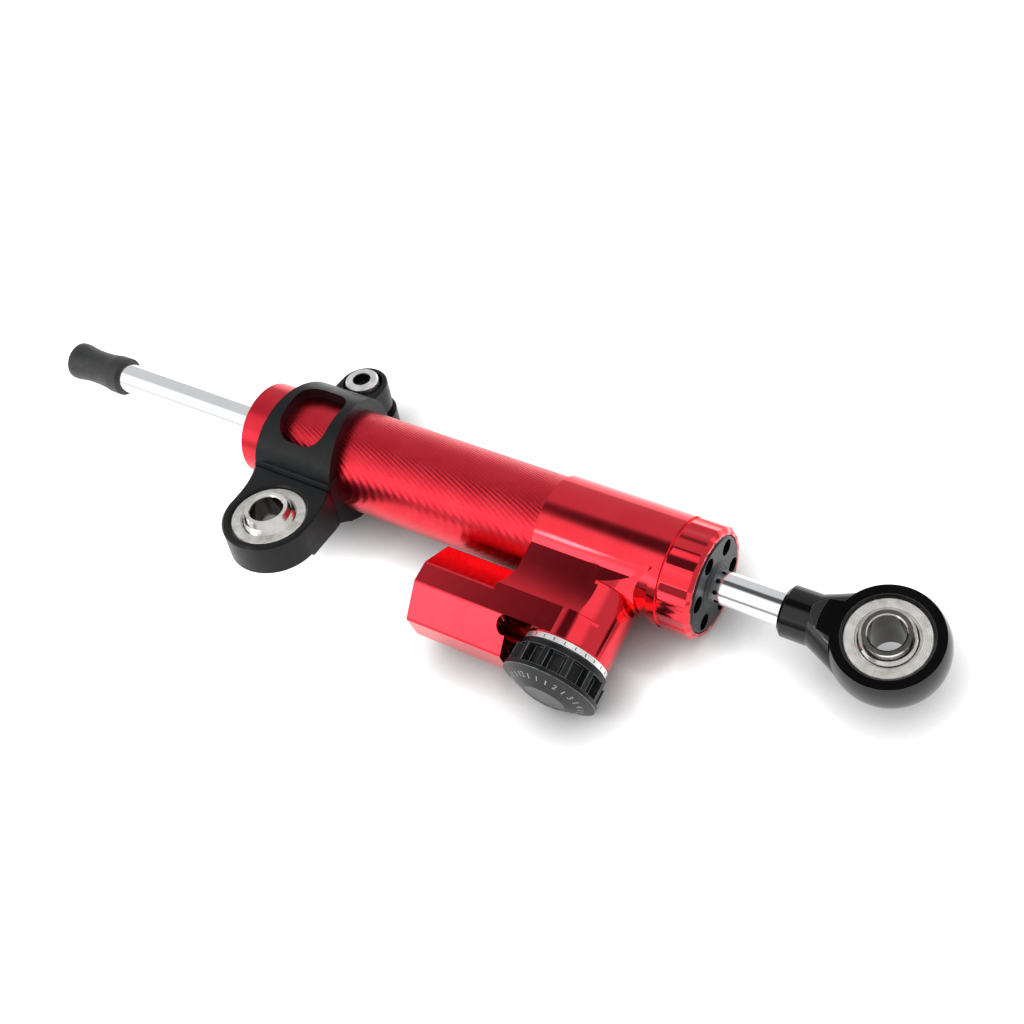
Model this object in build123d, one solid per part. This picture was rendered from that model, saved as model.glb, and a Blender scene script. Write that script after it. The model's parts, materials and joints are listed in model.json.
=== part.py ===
from build123d import *
import os
from math import sqrt, sin, cos, radians

# Steering damper with a through rod. Millimetres. X runs along the rod towards the rod end, Z is up
# along the bore of the rod end's ball, and the origin is the centre of that bore. The adjuster and the
# reservoir point along -Y.

overrun = 2.0
press_gap = 0.02
running_gap = 0.04
seal_gap = 0.03
seat_gap = 0.1

# Rod
rod_radius = 4.0
rod_chamfer = 0.5
rod_end_thread_radius = 3.4
rod_thread_length = 12.0
clip_groove_depth = 0.5

# Spherical bearings, the same in both eyes
bore_radius = 4.0
bore_chamfer = 0.35
ball_radius = 8.2
ball_half_width = 7.0
ball_face_radius = 5.3
ball_neck_radius = 6.0
race_radius = 9.5
race_half_width = 4.4
race_chamfer = 0.35

# Rod end
eye_half_width = 5.0
eye_radius = 13.15
eye_bore_chamfer = 0.45
shank_radius = 6.0
shank_chamfer = 0.8
shank_end = 23.6
neck_start = 16.6
neck_middle = 12.9
neck_middle_half_width = 7.8
neck_middle_half_height = 5.9
neck_root = 7.4
neck_root_half_width = 10.75
neck_root_half_height = 5.6
spot_face_radius = 15.1
spot_face_run = 3.4

# Head block, placed from the middle of the rod end's ball
head_end = 41.0
head_length = 40.4
sleeve_radius = 13.4
end_chamfer = 0.9
groove_from_end = 8.3
groove_width = 0.8
groove_depth = 0.45
wrench_flats = 20
wrench_flat_depth = 0.14
head_bore_radius = 11.7

# Adjuster boss on the block
adjuster_from_end = 23.7
boss_radius = 10.15
boss_face = 27.9
boss_chamfer = 0.3
shoulder_root = 12.1
shoulder_rise_share = 0.92
relief_radius = 17.0
relief_side = 13.6
relief_start = 1.9
relief_undercut_depth = 0.5
relief_undercut_width = 1.0
relief_wall = 0.7
boss_slot_place = 21.5
boss_slot_turn = 28.0
boss_slot_length = 5.0
boss_slot_width = 0.9
boss_slot_depth = 0.35

# Reservoir beside the tube
reservoir_length = 62.0
reservoir_axis = 25.2
reservoir_half_width = 10.3
reservoir_half_height = 10.0
reservoir_corner_width = 7.7
reservoir_corner_height = 5.8
reservoir_edge_radius = 1.0
reservoir_bore_radius = 7.4
reservoir_bore_length = 27.0
web_scoop_depth = 0.3
web_start = 8.9
web_crease = 20.9
slot_root = 14.0
slot_bend = 17.8
slot_bend_lead = 0.4
slot_end_lead = 2.5
pocket_floor = 27.5
pocket_side = 12.5
pocket_groove_radius = 2.0
pocket_groove_depth = 0.6
boss_bore_share = 0.59
port_radius = 1.5

# Damper tube
tube_radius = 12.6
tube_bore_radius = 10.0
tube_length = 77.9
spigot_radius = 11.65
spigot_length = 26.6

# Gland and rear end cap
gland_radius = 11.6
gland_length = 12.6
gland_proud = 0.3
gland_chamfer = 0.5
gland_holes = 6
gland_hole_radius = 2.0
gland_hole_depth = 4.0
gland_hole_circle = 8.8
rod_clearance = 0.3
bush_radius = 5.2
bush_length = 5.2
seal_radius = 6.8
seal_length = 3.2
wiper_radius = 5.9
wiper_length = 3.0
wiper_lip = 0.7
wiper_lip_radius = 4.9
rear_cap_radius = 12.15
rear_flange_length = 10.4
rear_spigot_length = 11.0
rear_chamfer = 0.4
ring_section = 0.75
ring_groove_width = 2.0

# Piston
piston_from_rear_cap = 21.7
piston_radius = 9.8
piston_length = 10.0
piston_band_width = 4.0
piston_band_depth = 1.0
piston_ports = 4
piston_port_radius = 1.1
piston_port_circle = 7.0
clip_radius = 5.3
clip_width = 1.0

# Rubber bump cap on the rod's free end
rod_free_length = 70.3
bump_cap_length = 18.4
bump_left_radius = 5.1
bump_waist_radius = 4.55
bump_right_radius = 5.2
bump_left_land = 2.0
bump_right_land = 3.2
bump_edge = 0.5
bump_floor = 2.0

# Clamp: its own frame has Z along its bore and its eye towards -Y
clamp_tilt = 16.0
clamp_from_tube_end = 9.5
clamp_ring_radius = 15.65
clamp_half_width = 11.9
clamp_root = 15.0
clamp_window_half_width = 7.0
clamp_window_half_length = 8.3
clamp_window_middle = 2.6
clamp_window_corner = 4.8
clamp_eye_reach = 29.0
clamp_eye_offset = 3.5
clamp_eye_radius = 11.6
clamp_eye_top = 5.0
clamp_eye_bottom = 4.6
clamp_eye_edge = 0.5
clamp_eye_lower_edge = 0.9
clamp_land_groove_radius = 1.3
clamp_land_groove_depth = 0.45
clamp_land_groove_place = 15.9
clamp_flare_share = 0.33
clamp_gusset_lead = 2.0
clamp_gusset_end = 11.0
clamp_gusset_end_drop = 11.2
clamp_spot_face_radius = 11.0
ear_wall = 1.9
ear_radius = 6.4
lower_ear_radius = 7.1
ear_top = 8.5
ear_bottom = 10.5
ear_edge = 0.5
split_width = 2.0
screw_radius = 2.5
screw_hole_gap = 0.2
screw_head_radius = 4.3
screw_head_height = 5.0
screw_head_edge = 0.4
screw_seat = 5.0
counterbore_radius = 5.2
socket_size = 4.0
socket_depth = 2.6

# Reservoir's inner pieces
plug_length = 4.0
plug_recess = 2.4
circlip_width = 1.0
circlip_radial = 1.6
circlip_opening = 3.2
circlip_groove_depth = 0.6
reservoir_piston_length = 6.0
reservoir_piston_place = 13.0
reservoir_piston_bowl_radius = 3.7
reservoir_piston_bowl_depth = 2.0

# Adjuster, measured outwards from the rod's axis
adjuster_bottom = 16.0
index_ring_top = 29.25
index_ring_inner_share = 0.65
index_ring_gap = 0.2
spindle_radius = 2.5
spindle_bottom = 21.0
spindle_top = 35.2
spindle_collar_radius = 3.6
spindle_collar_height = 1.2
needle_radius = 1.3
needle_length = 8.0
needle_cone = 3.0
knob_bottom = 29.55
knob_skirt_step = 0.45
knob_skirt_height = 1.5
knob_core_step = 0.95
knob_rib_step = 1.05
knob_ribs = 12
knob_rib_share = 0.42
knob_rib_tip_share = 0.6
knob_flange_step = 1.45
knob_flange_bottom = 35.8
knob_flange_height = 1.1
knob_face = 39.3
knob_disc_radius = 5.1
knob_disc_depth = 1.2
knob_disc_recess = 0.15
knob_screw_radius = 1.5
knob_screw_head_radius = 2.8
knob_screw_head_height = 1.6
knob_screw_length = 7.0
detent_count = 2
detent_circle_share = 0.818
detent_ball_radius = 0.7
detent_spring_length = 2.4
detent_spring_wall = 0.2

# Places along the rod that several pieces share
head_end_x = -head_end
head_start_x = head_end_x - head_length
adjuster_x = head_end_x - adjuster_from_end
reservoir_start_x = adjuster_x - reservoir_length + adjuster_from_end
tube_start_x = head_start_x - tube_length
rear_outer_x = tube_start_x - rear_flange_length
rear_inner_x = tube_start_x + rear_spigot_length
gland_inner_x = head_end_x + gland_proud - gland_length
gland_outer_x = head_end_x + gland_proud
rod_left_x = rear_outer_x - rod_free_length
piston_x = rear_inner_x + piston_from_rear_cap
clamp_x = tube_start_x + clamp_from_tube_end
clamp_eye_x = clamp_x + clamp_eye_offset

# Radii that follow the boss, and the ears' place beside the tube
boss_bore_radius = boss_radius * boss_bore_share
index_ring_inner = boss_radius * index_ring_inner_share
adjuster_housing_neck = index_ring_inner - index_ring_gap
knob_skirt_radius = boss_radius + knob_skirt_step
knob_core_radius = boss_radius - knob_core_step
knob_rib_radius = boss_radius + knob_rib_step
knob_flange_radius = boss_radius + knob_flange_step
detent_circle = boss_radius * detent_circle_share
ear_reach = tube_radius + screw_radius + ear_wall


def turned(points):
    """Solid turned about X from an outline of (x, radius) points."""
    return revolve(make_face(Polyline(*points, close=True)), Axis.X)


def bar(radius, start, end):
    """Round bar along X from start to end."""
    return turned([(start, 0), (start, radius), (end, radius), (end, 0)])


def tube(outer, inner, start, end):
    return turned([(start, inner), (start, outer), (end, outer), (end, inner)])


def across_x(x):
    """Plane square to X whose own axes are Y and Z."""
    return Plane((x, 0, 0), x_dir=(0, 1, 0), z_dir=(1, 0, 0))


def o_ring(middle_radius, x):
    section = Pos(x, middle_radius, 0) * Circle(ring_section)
    return revolve(section, Axis.X)


def about_adjuster(shape):
    """Shape drawn along +X from the rod's axis, turned to lie on the adjuster's axis."""
    return Pos(adjuster_x, 0, 0) * Rot(0, 0, -90) * shape


def about_bore(shape):
    """Shape drawn along +X, turned to lie along a vertical bore."""
    return Rot(0, -90, 0) * shape


def in_clamp(shape):
    """Shape drawn in the clamp's own frame, turned to the clamp's place on the tube."""
    return Rot(-clamp_tilt, 0, 0) * shape


# Spherical bearings

def bearing_ball():
    face = ball_half_width
    neck = sqrt(ball_radius ** 2 - ball_neck_radius ** 2)
    outline = [
        Line((-face, bore_radius + bore_chamfer), (-face, ball_face_radius)),
        Line((-face, ball_face_radius), (-neck, ball_neck_radius)),
        ThreePointArc((-neck, ball_neck_radius), (0, ball_radius), (neck, ball_neck_radius)),
        Line((neck, ball_neck_radius), (face, ball_face_radius)),
        Line((face, ball_face_radius), (face, bore_radius + bore_chamfer)),
        Line((face, bore_radius + bore_chamfer), (face - bore_chamfer, bore_radius)),
        Line((face - bore_chamfer, bore_radius), (bore_chamfer - face, bore_radius)),
        Line((bore_chamfer - face, bore_radius), (-face, bore_radius + bore_chamfer)),
    ]
    return about_bore(revolve(make_face(outline), Axis.X))


def bearing_race():
    cavity = ball_radius + running_gap
    mouth = sqrt(cavity ** 2 - race_half_width ** 2)
    side = race_half_width
    edge = race_chamfer
    outline = [
        Line((-side, mouth), (-side, race_radius - edge)),
        Line((-side, race_radius - edge), (edge - side, race_radius)),
        Line((edge - side, race_radius), (side - edge, race_radius)),
        Line((side - edge, race_radius), (side, race_radius - edge)),
        Line((side, race_radius - edge), (side, mouth)),
        ThreePointArc((side, mouth), (0, cavity), (-side, mouth)),
    ]
    return about_bore(revolve(make_face(outline), Axis.X))


def race_seat(half_width, chamfer):
    """Material to cut from an eye for its race, with a chamfered mouth on both sides."""
    radius = race_radius + press_gap
    end = half_width + overrun
    return about_bore(turned([
        (-end, 0),
        (-end, radius + chamfer + overrun),
        (-half_width, radius + chamfer),
        (chamfer - half_width, radius),
        (half_width - chamfer, radius),
        (half_width, radius + chamfer),
        (end, radius + chamfer + overrun),
        (end, 0),
    ]))


# Rod end

def rod_end_housing():
    # The eye is a ball with two flats, bored for the race.
    side = eye_half_width
    face = sqrt(eye_radius ** 2 - side ** 2)
    seat = race_radius + press_gap
    mouth = seat + eye_bore_chamfer
    edge = side - eye_bore_chamfer
    outline = [
        Line((-side, mouth), (-side, face)),
        ThreePointArc((-side, face), (0, eye_radius), (side, face)),
        Line((side, face), (side, mouth)),
        Line((side, mouth), (edge, seat)),
        Line((edge, seat), (-edge, seat)),
        Line((-edge, seat), (-side, mouth)),
    ]
    eye = about_bore(revolve(make_face(outline), Axis.X))
    shank = turned([
        (-shank_end, 0),
        (-shank_end, shank_radius - shank_chamfer),
        (shank_chamfer - shank_end, shank_radius),
        (-neck_start, shank_radius),
        (-neck_start, 0),
    ])
    neck = loft([
        across_x(-neck_start) * Ellipse(shank_radius, shank_radius),
        across_x(-neck_middle) * Ellipse(neck_middle_half_width, neck_middle_half_height),
        across_x(-neck_root) * Ellipse(neck_root_half_width, neck_root_half_height),
    ])
    stem = shank + neck
    # The two flats of the eye run out on the shank in a round ramp.
    high = shank_radius + shank_chamfer
    ramp = turned([
        (side, 0),
        (side, spot_face_radius),
        (high, spot_face_radius + spot_face_run),
        (high, 0),
    ])
    stem -= about_bore(ramp)
    stem -= Rot(180, 0, 0) * about_bore(ramp)
    stem -= about_bore(bar((seat + face) / 2, -side - overrun, side + overrun))
    thread = bar(
        rod_end_thread_radius + press_gap,
        -shank_end - overrun,
        rod_thread_length - shank_end + seat_gap,
    )
    return eye + stem - thread


# Piston rod and what is fixed to it

def piston_faces():
    return piston_x - piston_length / 2, piston_x + piston_length / 2


def piston_rod():
    left = rod_left_x + bump_floor
    first, second = piston_faces()
    groove = rod_radius - clip_groove_depth
    first_clip = first - seal_gap
    second_clip = second + seal_gap
    return turned([
        (left, 0),
        (left, rod_radius - rod_chamfer),
        (left + rod_chamfer, rod_radius),
        (first_clip - clip_width, rod_radius),
        (first_clip - clip_width, groove),
        (first_clip, groove),
        (first_clip, rod_radius),
        (second_clip, rod_radius),
        (second_clip, groove),
        (second_clip + clip_width, groove),
        (second_clip + clip_width, rod_radius),
        (-shank_end - press_gap, rod_radius),
        (-shank_end - press_gap, rod_end_thread_radius),
        (rod_thread_length - shank_end, rod_end_thread_radius),
        (rod_thread_length - shank_end, 0),
    ])


def piston_clips():
    first, second = piston_faces()
    inner = rod_radius - clip_groove_depth
    left = tube(clip_radius, inner, first - seal_gap - clip_width, first - seal_gap)
    right = tube(clip_radius, inner, second + seal_gap, second + seal_gap + clip_width)
    return Compound([left, right])


def piston():
    first, second = piston_faces()
    half_band = piston_band_width / 2
    shape = turned([
        (first, rod_radius + running_gap),
        (first, piston_radius),
        (piston_x - half_band, piston_radius),
        (piston_x - half_band, piston_radius - piston_band_depth),
        (piston_x + half_band, piston_radius - piston_band_depth),
        (piston_x + half_band, piston_radius),
        (second, piston_radius),
        (second, rod_radius + running_gap),
    ])
    for index in range(piston_ports):
        port = Pos(0, piston_port_circle, 0) * bar(piston_port_radius, first - overrun, second + overrun)
        shape -= Rot(360 / piston_ports * index, 0, 0) * port
    return shape


def piston_band():
    half = piston_band_width / 2 - press_gap
    return tube(
        tube_bore_radius - running_gap,
        piston_radius - piston_band_depth + press_gap,
        piston_x - half,
        piston_x + half,
    )


def rod_bump_cap():
    left = rod_left_x
    right = left + bump_cap_length
    waist = left + bump_left_land + (bump_cap_length - bump_left_land - bump_right_land) / 2
    first = left + bump_left_land
    last = right - bump_right_land
    bore = rod_radius + press_gap
    floor = left + bump_floor - press_gap
    outline = [
        Line((left, 0), (left, bump_left_radius - bump_edge)),
        Line((left, bump_left_radius - bump_edge), (left + bump_edge, bump_left_radius)),
        Line((left + bump_edge, bump_left_radius), (first, bump_left_radius)),
        ThreePointArc((first, bump_left_radius), (waist, bump_waist_radius), (last, bump_right_radius)),
        Line((last, bump_right_radius), (right, bump_right_radius)),
        Line((right, bump_right_radius), (right, bore)),
        Line((right, bore), (floor, bore)),
        Line((floor, bore), (floor, 0)),
        Line((floor, 0), (left, 0)),
    ]
    return revolve(make_face(outline), Axis.X)


# Head block

def reservoir_outline():
    """Eight-sided section of the reservoir in the YZ plane, as (y, z) points."""
    inner = -reservoir_axis + reservoir_half_width
    outer = -reservoir_axis - reservoir_half_width
    top = reservoir_half_height
    side = reservoir_half_height - reservoir_corner_height
    return [
        (outer, side),
        (outer + reservoir_corner_width, top),
        (inner - reservoir_corner_width, top),
        (inner, side),
        (inner, -side),
        (inner - reservoir_corner_width, -top),
        (outer + reservoir_corner_width, -top),
        (outer, -side),
    ]


def head_sleeve():
    groove_x = head_end_x - groove_from_end
    bottom = sleeve_radius - groove_depth
    sleeve = turned([
        (head_start_x, 0),
        (head_start_x, sleeve_radius),
        (groove_x, sleeve_radius),
        (groove_x, bottom),
        (groove_x + groove_width, bottom),
        (groove_x + groove_width, sleeve_radius),
        (head_end_x - end_chamfer, sleeve_radius),
        (head_end_x, sleeve_radius - end_chamfer),
        (head_end_x, 0),
    ])
    flats_start = groove_x + groove_width / 2
    flats_length = head_end_x + overrun - flats_start
    outside = extrude(across_x(flats_start) * Circle(sleeve_radius + overrun), flats_length)
    prism = extrude(
        across_x(flats_start)
        * RegularPolygon(sleeve_radius - wrench_flat_depth, wrench_flats, major_radius=False),
        flats_length,
    )
    return sleeve - (outside - prism)


def web_scoop(side):
    """Shallow hollow that a cutter leaves along the slab, on its top (1) or its bottom (-1)."""
    top = reservoir_half_height * side
    floor = top - web_scoop_depth * side
    above = top + overrun * side
    middle = (web_start + web_crease) / 2
    outline = [
        ThreePointArc((-web_start, top), (-middle, floor), (-web_crease, top)),
        Line((-web_crease, top), (-web_crease, above)),
        Line((-web_crease, above), (-web_start, above)),
        Line((-web_start, above), (-web_start, top)),
    ]
    start = head_start_x - slot_end_lead - overrun
    return extrude(across_x(start) * make_face(outline), head_end_x - groove_from_end - overrun - start)


def head_web():
    """Flat slab between sleeve and reservoir. The slot beside the tube ends in a slanting round."""
    first = head_start_x
    outline = [
        Line((adjuster_x, 0), (first, 0)),
        Line((first, 0), (first, -slot_root)),
        ThreePointArc(
            (first, -slot_root), (first - slot_bend_lead, -slot_bend), (first - slot_end_lead, -web_crease)
        ),
        Line((first - slot_end_lead, -web_crease), (first - slot_end_lead, -reservoir_axis)),
        Line((first - slot_end_lead, -reservoir_axis), (adjuster_x, -reservoir_axis)),
        Line((adjuster_x, -reservoir_axis), (adjuster_x, 0)),
    ]
    height = reservoir_half_height * 2
    return extrude(Plane.XY.offset(-reservoir_half_height) * make_face(outline), height)


def finger_pocket():
    """Pocket beside the knob: open above, below and outwards, with a round groove along its corner."""
    height = reservoir_half_height * 2 + overrun
    depth = reservoir_axis + reservoir_half_width + overrun - pocket_floor
    length = pocket_side + overrun
    pocket = Pos(
        adjuster_x - pocket_side + length / 2, -pocket_floor - depth / 2, 0
    ) * Box(length, depth, height)
    groove_x = adjuster_x - pocket_side - pocket_groove_depth
    groove = Pos(groove_x, -pocket_floor - pocket_groove_radius, 0) * Cylinder(pocket_groove_radius, height)
    return pocket + groove


def head_body():
    top = reservoir_half_height
    section = make_face(Polyline(*reservoir_outline(), close=True))
    section = fillet(section.vertices(), reservoir_edge_radius)
    reservoir = extrude(across_x(reservoir_start_x) * section, adjuster_x - reservoir_start_x)
    # On the adjuster's far side the block is as thick as the slab, then turned about the adjuster.
    slab_end = head_end_x - groove_from_end - overrun
    far_side = Pos(
        (adjuster_x + slab_end) / 2, -web_crease / 2, 0
    ) * Box(slab_end - adjuster_x, web_crease, top * 2)
    cone_top = shoulder_root - (relief_radius - boss_radius) * shoulder_rise_share
    relief_outer = relief_radius + relief_side
    relief = about_adjuster(turned([
        (boss_face + overrun, boss_radius),
        (shoulder_root + relief_undercut_width, boss_radius),
        (shoulder_root + relief_undercut_width, boss_radius - relief_undercut_depth),
        (shoulder_root, boss_radius - relief_undercut_depth),
        (shoulder_root, boss_radius),
        (cone_top, relief_radius),
        (cone_top, relief_outer),
        (boss_face + overrun, relief_outer),
    ]))
    # Only the side towards the head's end is turned away, as far as the band before the groove.
    side_length = slab_end - adjuster_x - relief_start
    side_box = Pos(
        slab_end - side_length / 2, -boss_face / 2, 0
    ) * Box(side_length, boss_face + overrun * 2, relief_outer * 2)
    far_side -= relief & side_box
    boss = about_adjuster(turned([
        (0, 0),
        (0, boss_radius),
        (boss_face - boss_chamfer, boss_radius),
        (boss_face, boss_radius - boss_chamfer),
        (boss_face, 0),
    ]))
    boss -= relief & side_box
    core = bar(head_bore_radius + relief_wall, head_start_x, head_end_x)
    sleeve = head_sleeve() - ((relief & side_box) - core)
    body = reservoir + head_web() - finger_pocket() + sleeve + far_side + boss
    body -= about_adjuster(
        Rot(-boss_slot_turn, 0, 0)
        * Pos(boss_slot_place, 0, boss_radius)
        * Box(boss_slot_width, boss_slot_length, boss_slot_depth * 2)
    )
    for side in (1, -1):
        body -= web_scoop(side)
    # Bores: tube and gland, reservoir, adjuster and the two oil ports.
    body -= bar(head_bore_radius, head_start_x - overrun, head_end_x + overrun)
    reservoir_bore = bar(
        reservoir_bore_radius, reservoir_start_x - overrun, reservoir_start_x + reservoir_bore_length
    )
    circlip_x = reservoir_start_x + plug_recess - circlip_width
    reservoir_bore += bar(
        reservoir_bore_radius + circlip_groove_depth, circlip_x - press_gap, circlip_x + circlip_width
    )
    reservoir_bore += bar(port_radius, reservoir_start_x, adjuster_x)
    body -= Pos(0, -reservoir_axis, 0) * reservoir_bore
    body -= about_adjuster(bar(boss_bore_radius + press_gap, adjuster_bottom - seat_gap, boss_face + overrun))
    body -= about_adjuster(bar(port_radius, 0, boss_face))
    return body


# Tube, gland and rear end cap

def damper_tube():
    shoulder = head_start_x - press_gap
    end = head_start_x + spigot_length
    body = turned([
        (tube_start_x, tube_bore_radius),
        (tube_start_x, tube_radius),
        (shoulder, tube_radius),
        (shoulder, spigot_radius),
        (end, spigot_radius),
        (end, tube_bore_radius),
    ])
    port = about_adjuster(bar(port_radius, 0, spigot_radius + overrun))
    return body - port


def rod_passage(inner, outer, direction):
    """Cuts for seal, bush and wiper, from the inner face of a cap out to its outer face."""
    before = inner - direction * overrun
    after = outer + direction * overrun
    seal_end = inner + direction * seal_length
    bush_end = seal_end + direction * bush_length
    wiper_start = outer - direction * wiper_length
    cuts = cut_between(rod_radius + rod_clearance, before, after)
    cuts += cut_between(seal_radius + press_gap, before, seal_end)
    cuts += cut_between(bush_radius + press_gap, before, bush_end)
    cuts += cut_between(wiper_radius + press_gap, wiper_start, after)
    return cuts


def cut_between(radius, first, last):
    return bar(radius, min(first, last), max(first, last))


def rod_seal(inner, direction):
    start = inner + direction * press_gap
    end = inner + direction * (seal_length - press_gap)
    return tube(seal_radius, rod_radius + seal_gap, min(start, end), max(start, end))


def rod_bush(inner, direction):
    start = inner + direction * (seal_length + press_gap)
    end = inner + direction * (seal_length + bush_length - press_gap)
    return tube(bush_radius, rod_radius + running_gap, min(start, end), max(start, end))


def rod_wiper(outer, direction):
    start = outer - direction * (wiper_length - press_gap)
    lip = outer + direction * wiper_lip
    return turned([
        (start, rod_radius + seal_gap),
        (start, wiper_radius),
        (outer, wiper_radius),
        (lip, wiper_lip_radius),
        (lip, rod_radius + seal_gap),
    ])


def ring_groove(outer_radius, x):
    """Cut for an O-ring that ends flush with outer_radius."""
    half = ring_groove_width / 2
    return tube(
        outer_radius + overrun,
        outer_radius - ring_section * 2 - press_gap,
        x - half,
        x + half,
    )


gland_ring_x = gland_inner_x + ring_groove_width
rear_ring_x = rear_inner_x - ring_groove_width


def head_gland():
    body = turned([
        (gland_inner_x, 0),
        (gland_inner_x, gland_radius),
        (gland_outer_x - gland_chamfer, gland_radius),
        (gland_outer_x, gland_radius - gland_chamfer),
        (gland_outer_x, 0),
    ])
    body -= rod_passage(gland_inner_x, gland_outer_x, 1)
    body -= ring_groove(gland_radius, gland_ring_x)
    for index in range(gland_holes):
        angle = 360 / gland_holes * (index + 1 / 2)
        hole = Pos(0, gland_hole_circle, 0) * bar(
            gland_hole_radius, gland_outer_x - gland_hole_depth, gland_outer_x + overrun
        )
        body -= Rot(angle, 0, 0) * hole
    return body


def rear_end_cap():
    radius = tube_bore_radius - press_gap
    body = turned([
        (rear_outer_x, 0),
        (rear_outer_x, rear_cap_radius - rear_chamfer),
        (rear_outer_x + rear_chamfer, rear_cap_radius),
        (tube_start_x - press_gap, rear_cap_radius),
        (tube_start_x - press_gap, radius),
        (rear_inner_x, radius),
        (rear_inner_x, 0),
    ])
    body -= rod_passage(rear_inner_x, rear_outer_x, -1)
    return body - ring_groove(radius, rear_ring_x)


# Reservoir's inner pieces

def in_reservoir(shape):
    return Pos(0, -reservoir_axis, 0) * shape


def sealed_disc(start, length):
    """Disc that fills the reservoir's bore, with a groove for its O-ring, and the ring."""
    radius = reservoir_bore_radius - press_gap
    ring_x = start + length / 2
    disc = bar(radius, start, start + length) - ring_groove(radius, ring_x)
    return in_reservoir(disc), in_reservoir(o_ring(radius - ring_section, ring_x))


def floating_disc(start, length):
    radius = reservoir_bore_radius - running_gap
    ring_x = start + length / 2
    disc = bar(radius, start, start + length) - ring_groove(radius, ring_x)
    hollow = bar(reservoir_piston_bowl_radius, start - overrun, start + reservoir_piston_bowl_depth)
    return in_reservoir(disc - hollow), in_reservoir(o_ring(radius - ring_section, ring_x))


def plug_circlip():
    start = reservoir_start_x + plug_recess - circlip_width
    outer = reservoir_bore_radius + circlip_groove_depth - press_gap
    ring = tube(outer, outer - circlip_radial, start, start + circlip_width - press_gap)
    gap = Pos(start, 0, -reservoir_bore_radius) * Box(
        (circlip_width + overrun) * 2, circlip_opening, (circlip_radial + overrun) * 2
    )
    return in_reservoir(ring - gap)


# Adjuster

def adjuster_housing():
    inner = spindle_radius + running_gap
    body = turned([
        (adjuster_bottom, port_radius),
        (adjuster_bottom, boss_bore_radius),
        (boss_face + seat_gap, boss_bore_radius),
        (boss_face + seat_gap, adjuster_housing_neck),
        (index_ring_top, adjuster_housing_neck),
        (index_ring_top, inner),
        (spindle_bottom + spindle_collar_height + press_gap * 2, inner),
        (spindle_bottom + spindle_collar_height + press_gap * 2, spindle_collar_radius + running_gap),
        (spindle_bottom - seat_gap, spindle_collar_radius + running_gap),
        (spindle_bottom - seat_gap, port_radius),
    ])
    groove_x = (spindle_bottom + boss_face) / 2 + ring_groove_width / 2
    groove = tube(
        spindle_radius + running_gap + ring_section * 2,
        port_radius,
        groove_x - ring_groove_width / 2,
        groove_x + ring_groove_width / 2,
    )
    return about_adjuster(body - groove)


def spindle_o_ring():
    groove_x = (spindle_bottom + boss_face) / 2 + ring_groove_width / 2
    return about_adjuster(o_ring(spindle_radius + running_gap + ring_section, groove_x))


def adjuster_spindle():
    body = turned([
        (spindle_bottom, 0),
        (spindle_bottom, spindle_collar_radius),
        (spindle_bottom + spindle_collar_height, spindle_collar_radius),
        (spindle_bottom + spindle_collar_height, spindle_radius),
        (spindle_top, spindle_radius),
        (spindle_top, 0),
    ])
    needle_hole = bar(
        needle_radius + running_gap,
        spindle_bottom - overrun,
        adjuster_bottom + needle_cone + needle_length + overrun,
    )
    screw_hole = bar(
        knob_screw_radius + press_gap, spindle_top - knob_screw_length, spindle_top + overrun
    )
    return about_adjuster(body - needle_hole - screw_hole)


def adjuster_needle():
    root = adjuster_bottom + needle_cone
    tip = port_radius - running_gap * 2
    return about_adjuster(turned([
        (adjuster_bottom - needle_cone, 0),
        (adjuster_bottom, tip - running_gap),
        (root, needle_radius),
        (root + needle_length, needle_radius),
        (root + needle_length, 0),
    ]))


def index_ring():
    return about_adjuster(tube(boss_radius, index_ring_inner, boss_face + press_gap, index_ring_top))


def detents():
    """The knob's click balls, and the springs behind them, as places on the knob's underside."""
    places = []
    for index in range(detent_count):
        angle = radians(360 / detent_count * index + 90)
        places.append((detent_circle * cos(angle), detent_circle * sin(angle)))
    return places


detent_ball_x = index_ring_top + running_gap + detent_ball_radius


def detent_balls():
    return Compound([
        about_adjuster(Pos(detent_ball_x, y, z) * Sphere(detent_ball_radius)) for y, z in detents()
    ])


def detent_springs():
    start = detent_ball_x + detent_ball_radius
    return Compound([
        about_adjuster(Pos(0, y, z) * tube(
            detent_ball_radius,
            detent_ball_radius - detent_spring_wall,
            start,
            start + detent_spring_length,
        ))
        for y, z in detents()
    ])


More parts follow.
